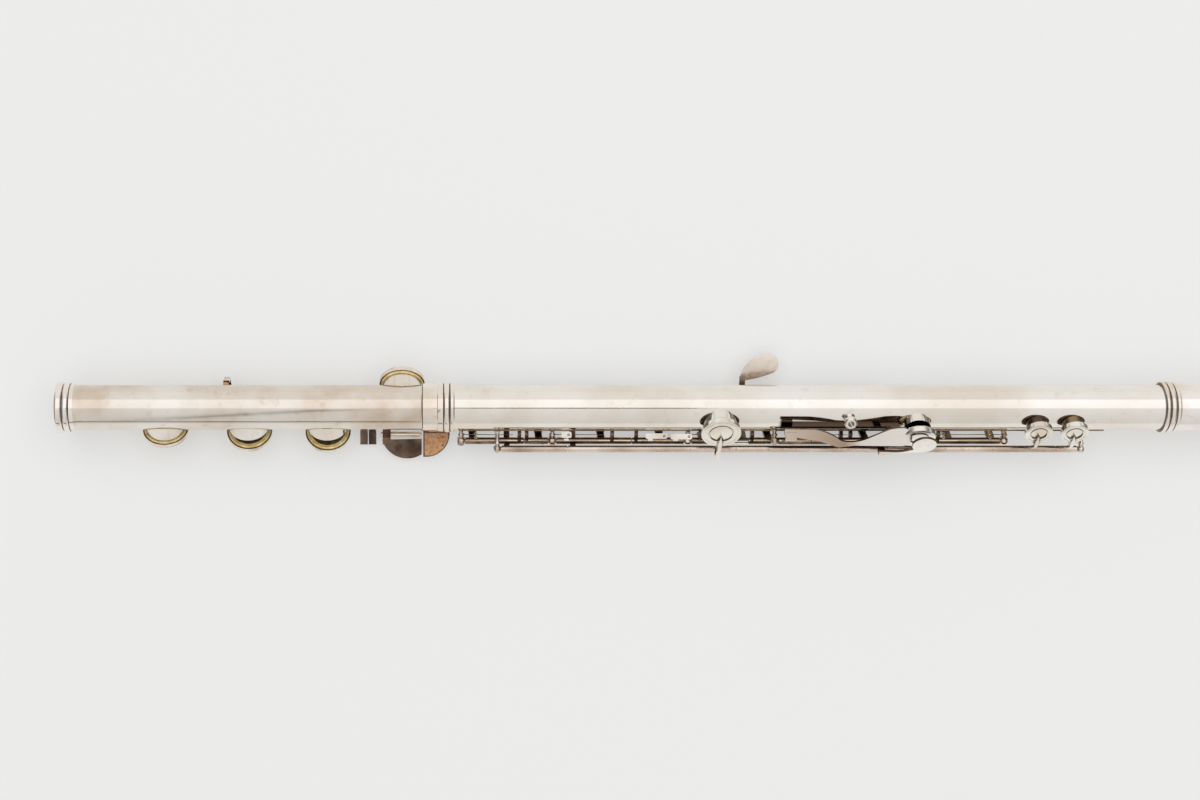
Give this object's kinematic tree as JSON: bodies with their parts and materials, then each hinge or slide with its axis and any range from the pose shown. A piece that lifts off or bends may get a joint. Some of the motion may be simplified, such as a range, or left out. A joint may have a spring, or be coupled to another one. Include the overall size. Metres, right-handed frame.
{
  "type": "concert flute",
  "caption": "Concert flute with a low B foot: tube in three joints, tone holes under padded key cups, hinge rods on posts, lip plate and screw crown",
  "frame": {"origin": "on the tube axis at the open foot end, the mouth of foot_bore", "axes": "+X along the tube from the open foot end to the crown; +Z the back of the flute, with the key cups and the lip plate facing -Z; +Y away from the player"},
  "size_m": [0.708, 0.0472, 0.0392],
  "materials": {
    "body_tube": "polished silver plate with a light warm tarnish",
    "body_rib": "polished silver plate with a light warm tarnish",
    "body_posts": "polished silver plate with a light warm tarnish",
    "body_springs": "gold-coloured needle springs",
    "barrel": "polished silver plate with a light warm tarnish",
    "right_hand_rods": "bright drawn steel",
    "left_hand_rods": "bright drawn steel",
    "thumb_rod": "bright drawn steel",
    "foot_tube": "polished silver plate with a light warm tarnish",
    "foot_socket": "polished silver plate with a light warm tarnish",
    "foot_end_ring": "polished silver plate with a light warm tarnish",
    "foot_posts": "polished silver plate with a light warm tarnish",
    "foot_rods": "bright drawn steel",
    "foot_springs": "gold-coloured needle springs",
    "head_tube": "polished silver plate with a light warm tarnish",
    "lip_plate": "polished silver plate with a light warm tarnish",
    "lip_riser": "polished silver plate with a light warm tarnish",
    "crown": "polished silver plate with a light warm tarnish",
    "stopper_screw": "bright drawn steel",
    "stopper_cork": "natural cork",
    "stopper_plates": "polished silver plate with a light warm tarnish",
    "low_b_key": "polished silver plate with a light warm tarnish",
    "low_b_pad": "gold-coloured skin over felt",
    "low_c_key": "polished silver plate with a light warm tarnish",
    "low_c_pad": "gold-coloured skin over felt",
    "low_c_bumper": "natural cork",
    "low_b_roller": "polished silver plate with a light warm tarnish",
    "low_c_roller": "polished silver plate with a light warm tarnish",
    "c_sharp_key": "polished silver plate with a light warm tarnish",
    "c_sharp_pad": "gold-coloured skin over felt",
    "e_flat_key": "polished silver plate with a light warm tarnish",
    "e_flat_pad": "gold-coloured skin over felt",
    "e_flat_cork": "natural cork",
    "d_key": "polished silver plate with a light warm tarnish",
    "d_pad": "gold-coloured skin over felt",
    "e_key": "polished silver plate with a light warm tarnish",
    "e_pad": "gold-coloured skin over felt",
    "f_key": "polished silver plate with a light warm tarnish",
    "f_pad": "gold-coloured skin over felt",
    "f_sharp_key": "polished silver plate with a light warm tarnish",
    "f_sharp_pad": "gold-coloured skin over felt",
    "lower_g_key": "polished silver plate with a light warm tarnish",
    "lower_g_pad": "gold-coloured skin over felt",
    "g_key": "polished silver plate with a light warm tarnish",
    "g_pad": "gold-coloured skin over felt",
    "a_key": "polished silver plate with a light warm tarnish",
    "a_pad": "gold-coloured skin over felt",
    "b_flat_key": "polished silver plate with a light warm tarnish",
    "b_flat_pad": "gold-coloured skin over felt",
    "c_key": "polished silver plate with a light warm tarnish",
    "c_pad": "gold-coloured skin over felt",
    "g_sharp_key": "polished silver plate with a light warm tarnish",
    "g_sharp_pad": "gold-coloured skin over felt",
    "d_trill_key": "polished silver plate with a light warm tarnish",
    "d_trill_pad": "gold-coloured skin over felt",
    "d_sharp_trill_key": "polished silver plate with a light warm tarnish",
    "d_sharp_trill_pad": "gold-coloured skin over felt",
    "thumb_b_key": "polished silver plate with a light warm tarnish",
    "thumb_b_pad": "gold-coloured skin over felt",
    "thumb_b_flat_lever": "polished silver plate with a light warm tarnish"
  },
  "bodies": {
    "body": {"body_tube": "body_tube", "body_rib": "body_rib", "body_posts": "body_posts", "body_springs": "body_springs", "barrel": "barrel", "right_hand_rods": "right_hand_rods", "left_hand_rods": "left_hand_rods", "thumb_rod": "thumb_rod"},
    "foot": {"foot_tube": "foot_tube", "foot_socket": "foot_socket", "foot_end_ring": "foot_end_ring", "foot_posts": "foot_posts", "foot_rods": "foot_rods", "foot_springs": "foot_springs"},
    "head": {"head_tube": "head_tube", "lip_plate": "lip_plate", "lip_riser": "lip_riser"},
    "crown": {"crown": "crown"},
    "stopper": {"stopper_screw": "stopper_screw", "stopper_cork": "stopper_cork", "stopper_plates": "stopper_plates"},
    "low_b": {"low_b_key": "low_b_key", "low_b_pad": "low_b_pad"},
    "low_c": {"low_c_key": "low_c_key", "low_c_pad": "low_c_pad", "low_c_bumper": "low_c_bumper"},
    "low_b_roller": {"low_b_roller": "low_b_roller"},
    "low_c_roller": {"low_c_roller": "low_c_roller"},
    "c_sharp": {"c_sharp_key": "c_sharp_key", "c_sharp_pad": "c_sharp_pad"},
    "e_flat": {"e_flat_key": "e_flat_key", "e_flat_pad": "e_flat_pad", "e_flat_cork": "e_flat_cork"},
    "d": {"d_key": "d_key", "d_pad": "d_pad"},
    "e": {"e_key": "e_key", "e_pad": "e_pad"},
    "f": {"f_key": "f_key", "f_pad": "f_pad"},
    "f_sharp": {"f_sharp_key": "f_sharp_key", "f_sharp_pad": "f_sharp_pad"},
    "lower_g": {"lower_g_key": "lower_g_key", "lower_g_pad": "lower_g_pad"},
    "g": {"g_key": "g_key", "g_pad": "g_pad"},
    "a": {"a_key": "a_key", "a_pad": "a_pad"},
    "b_flat": {"b_flat_key": "b_flat_key", "b_flat_pad": "b_flat_pad"},
    "c": {"c_key": "c_key", "c_pad": "c_pad"},
    "g_sharp": {"g_sharp_key": "g_sharp_key", "g_sharp_pad": "g_sharp_pad"},
    "d_trill": {"d_trill_key": "d_trill_key", "d_trill_pad": "d_trill_pad"},
    "d_sharp_trill": {"d_sharp_trill_key": "d_sharp_trill_key", "d_sharp_trill_pad": "d_sharp_trill_pad"},
    "thumb_b": {"thumb_b_key": "thumb_b_key", "thumb_b_pad": "thumb_b_pad"},
    "thumb_b_flat": {"thumb_b_flat_lever": "thumb_b_flat_lever"}
  },
  "joints": [
    {"name": "foot_joint_turn", "type": "hinge", "parent": "body", "child": "foot", "pos_m": [0.175, 0, 0], "axis": [1, 0, 0], "range_deg": [-15, 15]},
    {"name": "head_joint_slide", "type": "slide", "parent": "body", "child": "head", "axis": [1, 0, 0], "range_m": [0, 0.01]},
    {"name": "crown_turn", "type": "hinge", "parent": "head", "child": "crown", "pos_m": [0.693, 0, 0], "axis": [1, 0, 0], "range_deg": [-180, 180]},
    {"name": "stopper_slide", "type": "slide", "parent": "head", "child": "stopper", "axis": [1, 0, 0], "range_m": [-0.00041, 0.00041]},
    {"name": "d_key_hinge", "type": "hinge", "parent": "body", "child": "d", "pos_m": [0.1831, -0.0149, -0.0075], "axis": [1, 0, 0], "range_deg": [0, 9.5], "stiffness_Nm_per_rad": 0.012, "springref_deg": -34.38},
    {"name": "e_key_hinge", "type": "hinge", "parent": "body", "child": "e", "pos_m": [0.21261, -0.0149, -0.0075], "axis": [1, 0, 0], "range_deg": [0, 9.5], "stiffness_Nm_per_rad": 0.012, "springref_deg": -34.38},
    {"name": "f_key_hinge", "type": "hinge", "parent": "body", "child": "f", "pos_m": [0.24045, -0.0149, -0.0075], "axis": [1, 0, 0], "range_deg": [0, 9.5], "stiffness_Nm_per_rad": 0.012, "springref_deg": -34.38},
    {"name": "f_sharp_key_hinge", "type": "hinge", "parent": "body", "child": "f_sharp", "pos_m": [0.26674, -0.0149, -0.0075], "axis": [1, 0, 0], "range_deg": [0, 9.5], "stiffness_Nm_per_rad": 0.012, "springref_deg": -34.38},
    {"name": "lower_g_key_hinge", "type": "hinge", "parent": "body", "child": "lower_g", "pos_m": [0.29155, -0.0149, -0.0075], "axis": [1, 0, 0], "range_deg": [0, 9.5], "stiffness_Nm_per_rad": 0.012, "springref_deg": -34.38},
    {"name": "g_key_hinge", "type": "hinge", "parent": "body", "child": "g", "pos_m": [0.31497, -0.0149, -0.0075], "axis": [1, 0, 0], "range_deg": [0, 9.5], "stiffness_Nm_per_rad": 0.012, "springref_deg": -34.38},
    {"name": "a_key_hinge", "type": "hinge", "parent": "body", "child": "a", "pos_m": [0.33707, -0.0149, -0.0075], "axis": [1, 0, 0], "range_deg": [0, 9.5], "stiffness_Nm_per_rad": 0.012, "springref_deg": -34.38},
    {"name": "b_flat_key_hinge", "type": "hinge", "parent": "body", "child": "b_flat", "pos_m": [0.35794, -0.0149, -0.0075], "axis": [1, 0, 0], "range_deg": [0, 9.5], "stiffness_Nm_per_rad": 0.012, "springref_deg": -34.38},
    {"name": "c_key_hinge", "type": "hinge", "parent": "body", "child": "c", "pos_m": [0.41376, -0.0149, -0.0075], "axis": [1, 0, 0], "range_deg": [0, 7.5], "stiffness_Nm_per_rad": 0.012, "springref_deg": -34.38},
    {"name": "g_sharp_key_hinge", "type": "hinge", "parent": "body", "child": "g_sharp", "pos_m": [0.29155, -0.0149, -0.0075], "axis": [1, 0, 0], "range_deg": [0, 7.6], "stiffness_Nm_per_rad": 0.012, "springref_deg": -40.11},
    {"name": "d_trill_key_hinge", "type": "hinge", "parent": "body", "child": "d_trill", "pos_m": [0.43032, -0.0185, -0.0045], "axis": [1, 0, 0], "range_deg": [0, 7.6], "stiffness_Nm_per_rad": 0.012, "springref_deg": -40.11},
    {"name": "d_sharp_trill_key_hinge", "type": "hinge", "parent": "body", "child": "d_sharp_trill", "pos_m": [0.44595, -0.0185, -0.0045], "axis": [1, 0, 0], "range_deg": [0, 7.6], "stiffness_Nm_per_rad": 0.012, "springref_deg": -40.11},
    {"name": "thumb_b_key_hinge", "type": "hinge", "parent": "body", "child": "thumb_b", "pos_m": [0.37763, -0.0149, 0.0005], "axis": [-1, 0, 0], "range_deg": [0, 11.5], "stiffness_Nm_per_rad": 0.012, "springref_deg": -34.38},
    {"name": "thumb_b_flat_hinge", "type": "hinge", "parent": "body", "child": "thumb_b_flat", "pos_m": [0.37763, -0.0149, 0.0005], "axis": [-1, 0, 0], "range_deg": [0, 5], "stiffness_Nm_per_rad": 0.012, "springref_deg": -34.38},
    {"name": "c_sharp_key_hinge", "type": "hinge", "parent": "foot", "child": "c_sharp", "pos_m": [0.11872, 0, -0.0152], "axis": [-1, 0, 0], "range_deg": [0, 14], "stiffness_Nm_per_rad": 0.022, "springref_deg": -40.11},
    {"name": "low_c_key_hinge", "type": "hinge", "parent": "foot", "child": "low_c", "pos_m": [0.08363, 0.00393, -0.01468], "axis": [-1, 0, 0], "range_deg": [0, 11.5], "stiffness_Nm_per_rad": 0.022, "springref_deg": -40.11},
    {"name": "low_b_key_hinge", "type": "hinge", "parent": "foot", "child": "low_b", "pos_m": [0.04646, 0.0076, -0.01316], "axis": [-1, 0, 0], "range_deg": [-9, 1.2], "stiffness_Nm_per_rad": 0.022},
    {"name": "e_flat_key_hinge", "type": "hinge", "parent": "foot", "child": "e_flat", "pos_m": [0.15184, 0, -0.0152], "axis": [-1, 0, 0], "range_deg": [0, 12.5], "stiffness_Nm_per_rad": 0.012, "springref_deg": -40.11},
    {"name": "low_b_roller_turn", "type": "hinge", "parent": "low_b", "child": "low_b_roller", "pos_m": [0.13469, -0.01341, -0.01544], "axis": [0, 0.9998, 0.0209], "continuous": true},
    {"name": "low_c_roller_turn", "type": "hinge", "parent": "low_c", "child": "low_c_roller", "pos_m": [0.13839, -0.01304, -0.01846], "axis": [0, 0.9799, 0.1994], "continuous": true}
  ],
  "couplings": [
    {"joint": "f_sharp_key_hinge", "follows": "f_key_hinge", "ratio": 1},
    {"joint": "lower_g_key_hinge", "follows": "g_key_hinge", "ratio": 1},
    {"joint": "b_flat_key_hinge", "follows": "a_key_hinge", "ratio": 1},
    {"joint": "stopper_slide", "follows": "crown_turn", "m_per_rad": 0.00012732}
  ]
}
